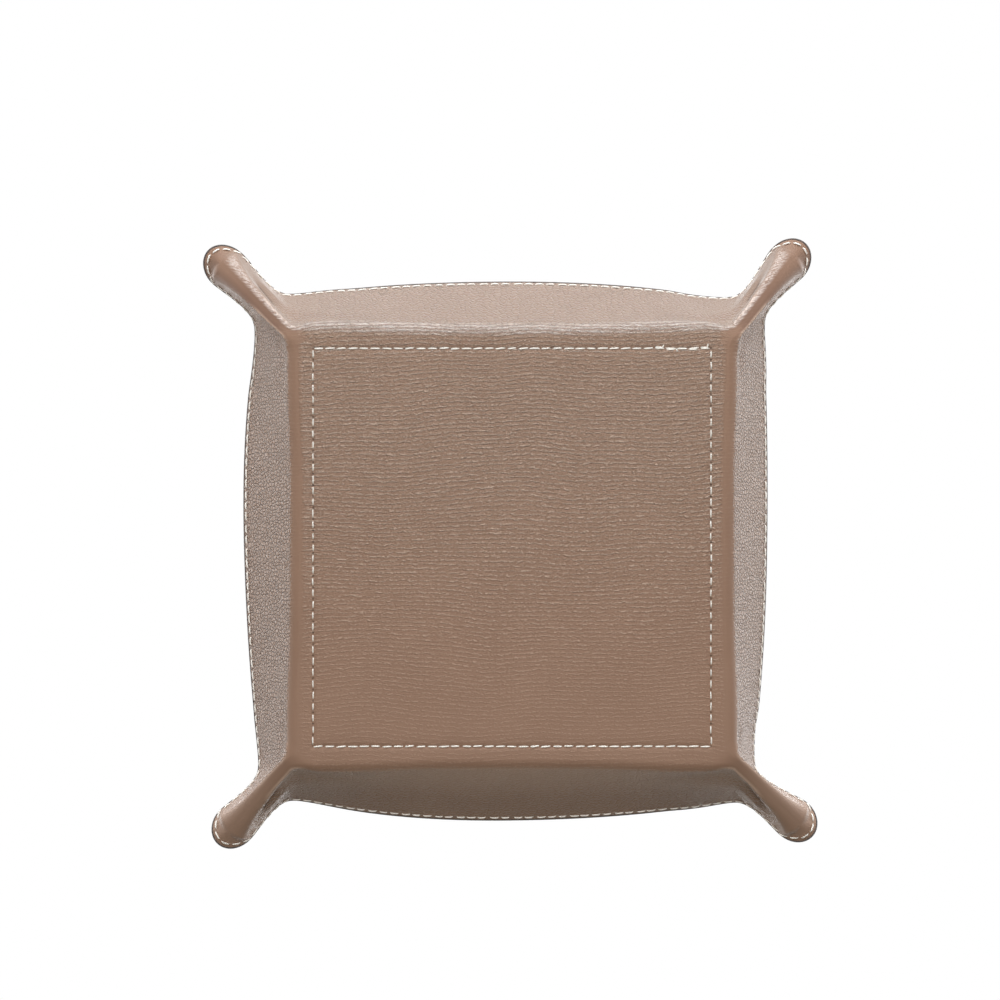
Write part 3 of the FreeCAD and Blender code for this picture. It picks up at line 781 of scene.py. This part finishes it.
# Depths of the bumps, in metres
GRAIN_BUMP = 0.0003
LINING_BUMP = 0.0001
THREAD_BUMP = 0.00008
EDGE_BUMP = 0.0001
SEAM_STEP = 2.0 * SEAM_HALF / round(2.0 * SEAM_HALF / STITCH_PITCH)
HOLE_RADII = (0.12, 0.45)
TAUPE = (0.31, 0.19, 0.13)
TAUPE_DEEP = (0.294, 0.179, 0.122)
# Light tan of the grain's crests, also used for painted light and painted highlights
CREST_AND_HIGHLIGHT = (0.62, 0.45, 0.35)
# Dark brown of the grain's creases, also used for painted shade
CREASE_AND_SHADE = (0.17, 0.1, 0.07)
# Dark of the needle holes, also the painted shade in the slits
HOLE_AND_SLIT_SHADE = (0.08, 0.05, 0.036)
# Painted shade on the front ridges
RIDGE_SHADE_BROWN = (0.19, 0.107, 0.074)
# Painted highlight on the front roll
STREAK_HIGHLIGHT = (0.78, 0.67, 0.61)
# Painted sheen on the front wall
PALE_SHEEN = (0.34, 0.3, 0.275)
FLANK_BROWN = (0.2, 0.15, 0.12)
# Painted shade on the rear wall
OLIVE_SHADE = (0.27, 0.17, 0.085)


class Value:
    """A node's output. Arithmetic with it adds math nodes to its tree."""

    def __init__(self, graph, socket):
        self.graph, self.socket = graph, socket

    def __add__(self, other):
        return self.graph.calc("ADD", self, other)

    def __sub__(self, other):
        return self.graph.calc("SUBTRACT", self, other)

    def __rsub__(self, other):
        return self.graph.calc("SUBTRACT", other, self)

    def __mul__(self, other):
        return self.graph.calc("MULTIPLY", self, other)

    def __pow__(self, power):
        return self.graph.calc("POWER", self, power)

    def __abs__(self):
        return self.graph.calc("ABSOLUTE", self)

    def most(self, other):
        return self.graph.calc("MAXIMUM", self, other)

    def clamped(self):
        return self.graph.calc("ADD", self, 0.0, True)

    def ramp(self, low, high, to_low=0.0, to_high=1.0):
        """A smooth step between two values."""
        node = self.graph.new("MapRange", interpolation_type="SMOOTHSTEP")
        for socket, value in zip(node.inputs, (self, low, high, to_low, to_high)):
            self.graph.feed(socket, value)
        return self.graph.output(node)


class Graph:
    """Short names for the nodes of one shader tree."""

    def __init__(self, tree):
        self.nodes, self.links = tree.nodes, tree.links

    def new(self, kind, **settings):
        node = self.nodes.new("ShaderNode" + kind)
        for setting, value in settings.items():
            setattr(node, setting, value)
        return node

    def output(self, node, name=0):
        return Value(self, node.outputs[name])

    def feed(self, socket, value):
        """Link a socket to another node's output, or set it to a number or a colour."""
        if isinstance(value, Value):
            self.links.new(value.socket, socket)
        else:
            socket.default_value = (*value, 1.0) if isinstance(value, tuple) else value

    def fill(self, node, **values):
        """Feed a node's inputs by name."""
        for name, value in values.items():
            self.feed(node.inputs[name], value)

    def calc(self, operation, a, b=None, clamp=False):
        node = self.new("Math", operation=operation, use_clamp=clamp)
        self.feed(node.inputs[0], a)
        if b is not None:
            self.feed(node.inputs[1], b)
        return self.output(node)

    def mix(self, factor, a, b):
        node = self.new("Mix", data_type="RGBA")
        for socket, value in zip((node.inputs["Factor"], *node.inputs[6:8]), (factor, a, b)):
            self.feed(socket, value)
        return self.output(node, 2)

    def mix_shaders(self, factor, a, b):
        node = self.new("MixShader")
        for socket, value in zip(node.inputs, (factor, a, b)):
            self.feed(socket, value)
        return self.output(node)

    def noise(self, vector, scale, detail=2.0, roughness=0.5):
        node = self.new("TexNoise")
        self.fill(node, Vector=vector, Scale=scale, Detail=detail, Roughness=roughness)
        return self.output(node, "Fac")

    def seen(self):
        """1 for what the camera sees, straight or by way of gloss or glass."""
        path = self.new("LightPath")
        camera_ray, glossy_ray = self.output(path, "Is Camera Ray"), self.output(path, "Is Glossy Ray")
        return camera_ray.most(glossy_ray).most(self.output(path, "Is Transmission Ray"))


class Look(Graph):
    """A new material with a principled shader."""

    def __init__(self, name):
        self.material = bpy.data.materials.new(name)
        self.material.use_nodes = True
        super().__init__(self.material.node_tree)
        self.bsdf = self.nodes["Principled BSDF"]

    def object_place(self):
        return self.output(self.new("TexCoord"), "Object")

    def bump(self, height, distance, strength=1.0):
        node = self.new("Bump")
        self.fill(node, Height=height, Distance=distance, Strength=strength)
        self.feed(self.bsdf.inputs["Normal"], self.output(node, "Normal"))

    def shade(self, settings):
        """Set or link the principled shader's sockets by name."""
        self.fill(self.bsdf, **settings)
        return self.material


class PatternLook(Look):
    """A material on the flat pattern of the sheets."""

    def __init__(self, name):
        super().__init__(name)
        self.place = self.output(self.new("UVMap", uv_map="pattern"), "UV")

    def split(self, vector):
        node = self.new("SeparateXYZ")
        self.feed(node.inputs[0], vector)
        return [self.output(node, axis) for axis in "XYZ"]

    def scaled(self, scale):
        node = self.new("Mapping")
        node.inputs["Scale"].default_value = (*scale, 1.0)
        self.feed(node.inputs["Vector"], self.place)
        return self.output(node, "Vector")

    def flat_noise(self, scale, detail=2.0, roughness=0.5):
        return self.noise(self.scaled(scale), 1.0, detail, roughness)

    def pebbles(self, scale):
        """1 on the pebbles of a grain, falling to 0 in the creases between them."""
        cells = self.new("TexVoronoi", voronoi_dimensions="2D", feature="DISTANCE_TO_EDGE")
        self.fill(cells, Vector=self.scaled(scale), Scale=1.0)
        return self.output(cells, "Distance").ramp(0.0, PEBBLE_EDGE)

    def needle_holes(self):
        """1 at the needle holes of the base seam, falling to 0 beside them."""
        across_u, across_v = [abs(axis) for axis in self.split(self.place)[:2]]
        off_seam = across_u.most(across_v) - SEAM_HALF
        turns = self.calc("DIVIDE", self.calc("MINIMUM", across_u, across_v), SEAM_STEP)
        off_hole = (self.calc("FRACT", turns) - 0.5) * SEAM_STEP
        away = self.calc("SQRT", off_seam * off_seam + off_hole * off_hole)
        return away.ramp(*HOLE_RADII, 1.0, 0.0)


class OuterLeather(PatternLook):
    """Grained leather: wavy lines on the base, pebbles on the walls, smooth on the folds and ears."""

    def make(self):
        self.read_zones()
        self.draw_grain()
        self.fade_grain()
        mottled = self.flat_noise((0.035, 0.035), 3.0, 0.55).ramp(0.3, 0.7)
        body = self.tint_folds(self.mix(mottled, TAUPE_DEEP, TAUPE))
        body = self.tint_grain(self.tint_walls(body))
        body, gloss = self.tint_streaks(body)
        hole = self.needle_holes() * (self.side * 0.5 + 0.3)
        self.bump(self.relief(), GRAIN_BUMP)
        return self.shade(
            {
                "Base Color": self.mix(hole, body, HOLE_AND_SLIT_SHADE),
                "Roughness": self.fine.ramp(0.2, 0.8, 0.4, 0.56),
                "Specular IOR Level": 0.1,
                "Sheen Weight": 0.38,
                "Sheen Roughness": 0.4,
                "Coat Weight": gloss,
                "Coat Roughness": 0.3,
            }
        )

    def read_zones(self):
        """Where the walls, the folds, the ears, the slits with their painted shade and the streaks of painted
        highlight lie.
        """
        zone = self.output(self.new("Attribute", attribute_name="zone"), "Vector")
        mark = self.output(self.new("Attribute", attribute_name="slit_shade_and_highlight_mark"), "Fac")
        self.wall, self.fold, ear = self.split(zone)
        self.slit, self.streak = mark.most(0.0), (mark * -1.0).most(0.0)
        self.ear, self.tip = ear.clamped(), (ear - 1.0).clamped()
        u, self.v = self.split(self.place)[:2]
        self.across_u = abs(u)
        self.side = (self.across_u - abs(self.v)).ramp(-1.0, 1.0)
        self.side_wall = self.wall * self.side
        self.end_wall = self.wall - self.side_wall
        self.on_fold = self.fold * (1.0 - self.wall)

    def draw_grain(self):
        """Wavy lines across the sheet, pebbles, and finer noise."""
        waver = self.flat_noise((0.4, 0.65), 2.5, 0.6) * SWAY_TURN
        waver += self.flat_noise((0.02, 0.012), 1.0, 0.5) * DRIFT_TURN
        beyond = (abs(self.v) - FOLD_FAR).most(0.0) * self.calc("SIGN", self.v) * self.end_wall
        turn = (self.v - beyond * WALL_PITCH_EASE) * (2.0 * math.pi / LINE_PITCH)
        self.bands = (self.calc("SINE", turn + waver) + 1.0) * 0.5
        self.lines = self.bands**LINE_SHARPNESS * self.flat_noise((1.1, 1.5), 2.0, 0.6).ramp(0.38, 0.6)
        self.lines *= 1.0 - self.wall * WALL_LINE_LOSS
        self.pebble = self.pebbles(PEBBLE_SCALE)
        self.fine = self.flat_noise((1.3, 3.0), 3.0, 0.65)

    def fade_grain(self):
        """How much of the grain is kept: less on folds and ears, and less towards the rear, as painted light: the
        grain's colour and bumps are strongest at the front, where the light grazes.
        """
        near_corner = self.v.ramp(55.0, FOLD_FAR) * self.across_u.ramp(25.0, 58.0)
        rough = self.side_wall.most(self.end_wall * near_corner)
        keep = (1.0 - self.on_fold * 0.94) * (1.0 - self.ear * (0.92 - rough * 0.6)) * (1.0 - self.tip)
        # Painted light: stronger grain at the front, where the light grazes, fading towards the rear
        grain_strength = self.v.ramp(-45.0, 64.0, 1.9, 0.2) * (1.0 - self.end_wall * 0.5)
        grain_strength += self.end_wall * self.v.ramp(FOLD_NEAR, FOLD_FAR, 0.0, 0.3)
        grain_strength += rough * (WALL_GRAIN - grain_strength)
        self.keep = keep * grain_strength + self.streak * (0.9 - self.ear * 0.7)

    def relief(self):
        height = self.lines + self.pebble * (self.wall * (self.side * 0.4 + 0.8) + 0.2)
        height += self.fine * self.wall.ramp(0.0, 1.0, 1.0, 0.5)
        return height * self.keep + self.flat_noise((1.6, 3.6)) * MICRO_RELIEF

    def tint_folds(self, body):
        """Painted shade on the front ridges, and painted light on the rear ones and on the front edge of the
        base.
        """
        # Painted shade on the front ridges, fading towards the rear
        ridge_shade = self.on_fold * self.ear.ramp(0.02, 0.4) * self.v.ramp(-LIT_RUN, LIT_RUN, 0.8, 0.0)
        body = self.mix(ridge_shade * (1.0 - self.tip * 0.5), body, RIDGE_SHADE_BROWN)
        # Painted light on the rear ridges, strongest at the rear
        body = self.mix(self.on_fold * self.ear * self.v.ramp(-LIT_RUN, LIT_RUN, 0.0, 0.16), body, CREST_AND_HIGHLIGHT)
        # Painted light on the front edge of the base, strongest at the front
        lit_edge = self.v.ramp(-66.5, -61.0, 0.3, 0.0).most(self.v.ramp(-60.0, LIT_RUN, 0.17, 0.0))
        for zone in (self.fold, self.wall, self.ear):
            lit_edge *= 1.0 - zone
        return self.mix(lit_edge, body, CREST_AND_HIGHLIGHT)

    def tint_walls(self, body):
        """Painted shade in olive on the rear wall, painted light below its fold, a pale painted sheen on the
        front wall, and brown front ears.
        """
        # Painted shade: the rear wall darker and more olive
        body = self.mix(self.end_wall * self.v.ramp(FOLD_NEAR, FOLD_FAR, 0.0, 0.24), body, OLIVE_SHADE)
        # Painted light on the rear wall just below its fold, fading towards the rim
        light_below_fold = self.end_wall * self.v.ramp(FOLD_NEAR, 66.0) * self.v.ramp(FOLD_FAR, 92.0, 0.55, 0.0)
        body = self.mix(light_below_fold, body, CREST_AND_HIGHLIGHT)
        front = self.end_wall * self.v.ramp(-FOLD_FAR, -FOLD_NEAR, 1.0, 0.0)
        on_ear = front * self.ear
        # Painted sheen: the front wall paler where it is off the ears
        body = self.mix((front - on_ear) * 0.3, body, PALE_SHEEN)
        return self.mix(on_ear * 0.6, body, FLANK_BROWN)

    def tint_grain(self, body):
        """Darker creases between the pebbles and lighter crests on the lines and pebbles: partly the grain's own
        tone, partly painted shade and painted highlight.
        """
        # Darker creases between the pebbles, partly painted shade
        on_side = (self.side_wall * self.keep).clamped() * self.ear.ramp(0.0, 1.0, 0.42, 0.16)
        body = self.mix((1.0 - self.pebble) * on_side, body, CREASE_AND_SHADE)
        # Lighter crests, flecks and pebble tops, partly painted highlight
        fleck = self.flat_noise((1.6, 3.0), 1.0, 0.5).ramp(0.58, 0.74)
        on_pebble = (self.wall - self.end_wall * 0.3) * self.ear.ramp(0.0, 1.0, 0.2, 0.1)
        crown = (self.lines * 0.9).most(fleck * 0.6).most(self.pebble * on_pebble)
        return self.mix((crown * self.keep).clamped(), body, CREST_AND_HIGHLIGHT)

    def tint_streaks(self, body):
        """Painted highlights on the rims of the necks and on the dashes along the front roll, which the coat also
        makes glossy, and painted shade in the slits.
        """
        # Painted highlight along the rims of the folds at the necks
        neck_rim_highlight = self.wall * (1.0 - self.wall) * 4.0
        on_neck = self.ear.ramp(*NECK_SPAN) * self.ear.ramp(0.8, 1.0, 1.0, 0.0)
        body = self.mix(neck_rim_highlight * on_neck * 0.65, body, CREST_AND_HIGHLIGHT)
        thin = self.bands**2.0
        even = thin + self.ear * 0.8 * (1.0 - thin)
        dashes = self.flat_noise((0.5, 1.8), 2.0, 0.6).ramp(0.4, 0.53) * even * 0.85 + 0.1
        gloss = dashes * (1.0 - self.ear * 0.55) * self.streak
        # Painted shade between the dashes and painted highlight on them; the coat also gives the dashes real
        # gloss
        body = self.mix(self.streak * (1.0 - even) * 0.4, body, CREASE_AND_SHADE)
        body = self.mix(gloss * 0.95, body, STREAK_HIGHLIGHT)
        # Painted shade in the slits
        return self.mix(self.slit * 0.85, body, HOLE_AND_SLIT_SHADE), gloss


def lining_look():
    """Plain lining leather with a fine, even pebble."""
    look = PatternLook("taupe_lining_leather")
    pebble = look.pebbles(LINING_PEBBLE_SCALE)
    fine = look.flat_noise((1.9, 2.2), 3.0, 0.6)
    look.bump(pebble + fine, LINING_BUMP)
    mottled = look.flat_noise((0.04, 0.04), 3.0, 0.55).ramp(0.3, 0.7)
    body = look.mix(mottled, TAUPE_DEEP, TAUPE)
    body = look.mix(pebble.ramp(0.0, 1.0, 0.3, 0.0), body, CREASE_AND_SHADE)
    body = look.mix(fine.ramp(0.55, 0.75, 0.0, 0.16), body, CREST_AND_HIGHLIGHT)
    return look.shade(
        {
            "Base Color": look.mix(look.needle_holes(), body, HOLE_AND_SLIT_SHADE),
            "Roughness": fine.ramp(0.2, 0.8, 0.42, 0.58),
            "Specular IOR Level": 0.15,
            "Sheen Weight": 0.3,
            "Sheen Roughness": 0.4,
        }
    )


def thread_look():
    """Cream cotton with a twist and a little soil."""
    look = Look("thread_cotton")
    place = look.object_place()
    wave = look.new("TexWave", wave_type="BANDS", bands_direction="DIAGONAL")
    look.fill(wave, Vector=place, Scale=900.0, Distortion=0.6)
    twist = look.output(wave, "Fac")
    look.bump(twist, THREAD_BUMP, 0.5)
    soiled = look.mix(look.noise(place, 220.0).ramp(0.35, 0.7), (0.96, 0.91, 0.84), (0.88, 0.82, 0.73))
    color = look.mix(twist, soiled, (0.97, 0.94, 0.88))
    return look.shade({"Base Color": color, "Roughness": 0.65, "Specular IOR Level": 0.25})


def edge_look():
    """Dark edge paint, with wear in places."""
    look = PatternLook("edge_paint_brown")
    wear = look.noise(look.place, 0.4, 4.0, 0.6)
    look.bump(look.noise(look.place, 1.5), EDGE_BUMP)
    color = look.mix(wear.ramp(0.35, 0.75), (0.028, 0.02, 0.017), (0.075, 0.05, 0.04))
    return look.shade({"Base Color": color, "Roughness": wear.ramp(0.2, 0.8, 0.32, 0.5)})


def board_look():
    """Grey fibre board."""
    look = Look("grey_board")
    fibre = look.noise(look.object_place(), 900.0, 4.0, 0.6)
    color = look.mix(fibre, (0.3, 0.26, 0.21), (0.22, 0.19, 0.15))
    return look.shade({"Base Color": color, "Roughness": fibre.ramp(0.2, 0.8, 0.75, 0.95)})


# Pieces
THREAD = thread_look()
BOARD_LOOK = board_look()


def finish_piece(piece, material, slot, *nodes):
    piece.data.materials.append(material)
    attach(piece, "root")
    if nodes:
        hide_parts(*nodes)


outer_sheet = Sheet(0.0, LEATHER, outer_base).build("outer_leather_sheet")
finish_piece(outer_sheet, OuterLeather("taupe_grained_leather").make(), "outer_leather", "outer_leather")
lining_sheet = Sheet(LEATHER, STACK, lining_base).build("lining_leather_sheet")
finish_piece(lining_sheet, lining_look(), "lining_leather", "lining_leather")
finish_piece(edge_paint(), edge_look(), "outer_leather")
# In this order, because they draw from the same random numbers
SEAMS = {
    "base_seam_outer": base_stitches(SEAM_DIP, -1) + seam_end(SEAM_DIP),
    "base_seam_inner": base_stitches(STACK, 1),
    "rim_seam_outer": rim_stitches(0.0, -1),
    "rim_seam_inner": rim_stitches(STACK, 1),
}
for seam, stitches in SEAMS.items():
    finish_piece(thread_piece(seam + "_stitches", stitches), THREAD, "thread", seam + "_thread")
for node_name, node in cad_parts.items():
    if node_name == "base_board" or node_name.startswith("corner_tack"):
        node.data.materials.clear()
        node.data.materials.append(BOARD_LOOK if node_name == "base_board" else THREAD)


# Stage
FLOOR_HALF = 3.0
FLOOR_HEIGHT = -0.0004
FLOOR_SHADE = 0.93
FLOOR_FADE = (0.18, 0.5)
AMBIENT = 0.05
WHITE = (1.0, 1.0, 1.0)
PICTURE_WIDTH = 0.305
SENSOR = 36.0
VIEW_CENTRE = (-0.00366, -0.01449)
VIEW_DISTANCE = 1.0


def pale_floor(graph):
    """Shaded round the object, where its shadow falls, and evenly white farther off."""
    shade, white = graph.new("BsdfDiffuse"), graph.new("Emission")
    graph.fill(shade, Color=(FLOOR_SHADE,) * 3)
    graph.fill(white, Color=WHITE, Strength=1.0)
    distance = graph.new("VectorMath", operation="LENGTH")
    graph.feed(distance.inputs[0], graph.output(graph.new("NewGeometry"), "Position"))
    farther = graph.output(distance, "Value").ramp(*FLOOR_FADE)
    return graph.mix_shaders(farther, graph.output(shade), graph.output(white))


def floor_material():
    """A surface seen from its front only, which no light or shadow of the object's other side meets."""
    material = bpy.data.materials.new("pale_floor")
    material.use_nodes = True
    graph = Graph(material.node_tree)
    graph.nodes.clear()
    front = 1.0 - graph.output(graph.new("NewGeometry"), "Backfacing")
    clear = graph.output(graph.new("BsdfTransparent"))
    surface = graph.mix_shaders(graph.seen() * front, clear, pale_floor(graph))
    graph.feed(graph.new("OutputMaterial").inputs["Surface"], surface)
    return material


floor_mesh = bpy.data.meshes.new("floor")
floor_corners = [(FLOOR_HALF * x, FLOOR_HALF * y, FLOOR_HEIGHT) for x, y in ((-1, -1), (1, -1), (1, 1), (-1, 1))]
floor_mesh.from_pydata(floor_corners, [], [[0, 1, 2, 3]])
floor_mesh.materials.append(floor_material())
floor = add_object("floor", floor_mesh)

world = bpy.data.worlds.new("studio")
bpy.context.scene.world = world
world.use_nodes = True
sky = Graph(world.node_tree)
sky.fill(sky.nodes["Background"], Color=WHITE, Strength=sky.seen() * (1.0 - AMBIENT) + AMBIENT)


def lamp(name, place, target, size, power, color=WHITE):
    data = bpy.data.lights.new(name, "AREA")
    data.shape, data.size, data.energy, data.color = "SQUARE", size, power, color
    light = add_object(name, data)
    light.location = place
    light.rotation_mode = "QUATERNION"
    light.rotation_quaternion = (Vector(target) - Vector(place)).to_track_quat("-Z", "Y")


MIDDLE = (0.0, 0.0, 0.0)
MID_WALL = (0.0, 0.0, 0.02)
lamp("front_soft", (0.0, -0.32, -1.05), MIDDLE, 0.6, 8.5)
lamp("top_soft", (0.04, -0.8, -0.11), MID_WALL, 0.8, 10.6, (0.91, 0.96, 1.0))
lamp("right_soft", (0.8, -0.1, 0.5), MID_WALL, 0.8, 7.4)
lamp("left_soft", (-0.8, -0.1, 0.45), MID_WALL, 0.8, 6.7)
lamp("low_fill", (0.0, 0.9, -0.35), MID_WALL, 0.6, 0.95, (1.0, 0.8, 0.48))
lamp("overhead_soft", (0.1, 0.1, 1.1), MIDDLE, 1.0, 9.0)

# The camera looks straight up at the underside, as the photograph does
camera = bpy.data.cameras.new("camera")
camera.sensor_width = SENSOR
camera.lens = SENSOR * VIEW_DISTANCE / PICTURE_WIDTH
camera.clip_start, camera.clip_end = 0.05, 20.0
viewer = add_object("camera", camera)
viewer.location = (*VIEW_CENTRE, -VIEW_DISTANCE)
viewer.rotation_euler = (math.pi, 0.0, 0.0)
bpy.context.scene.camera = viewer
bpy.context.scene.view_settings.view_transform = "Standard"
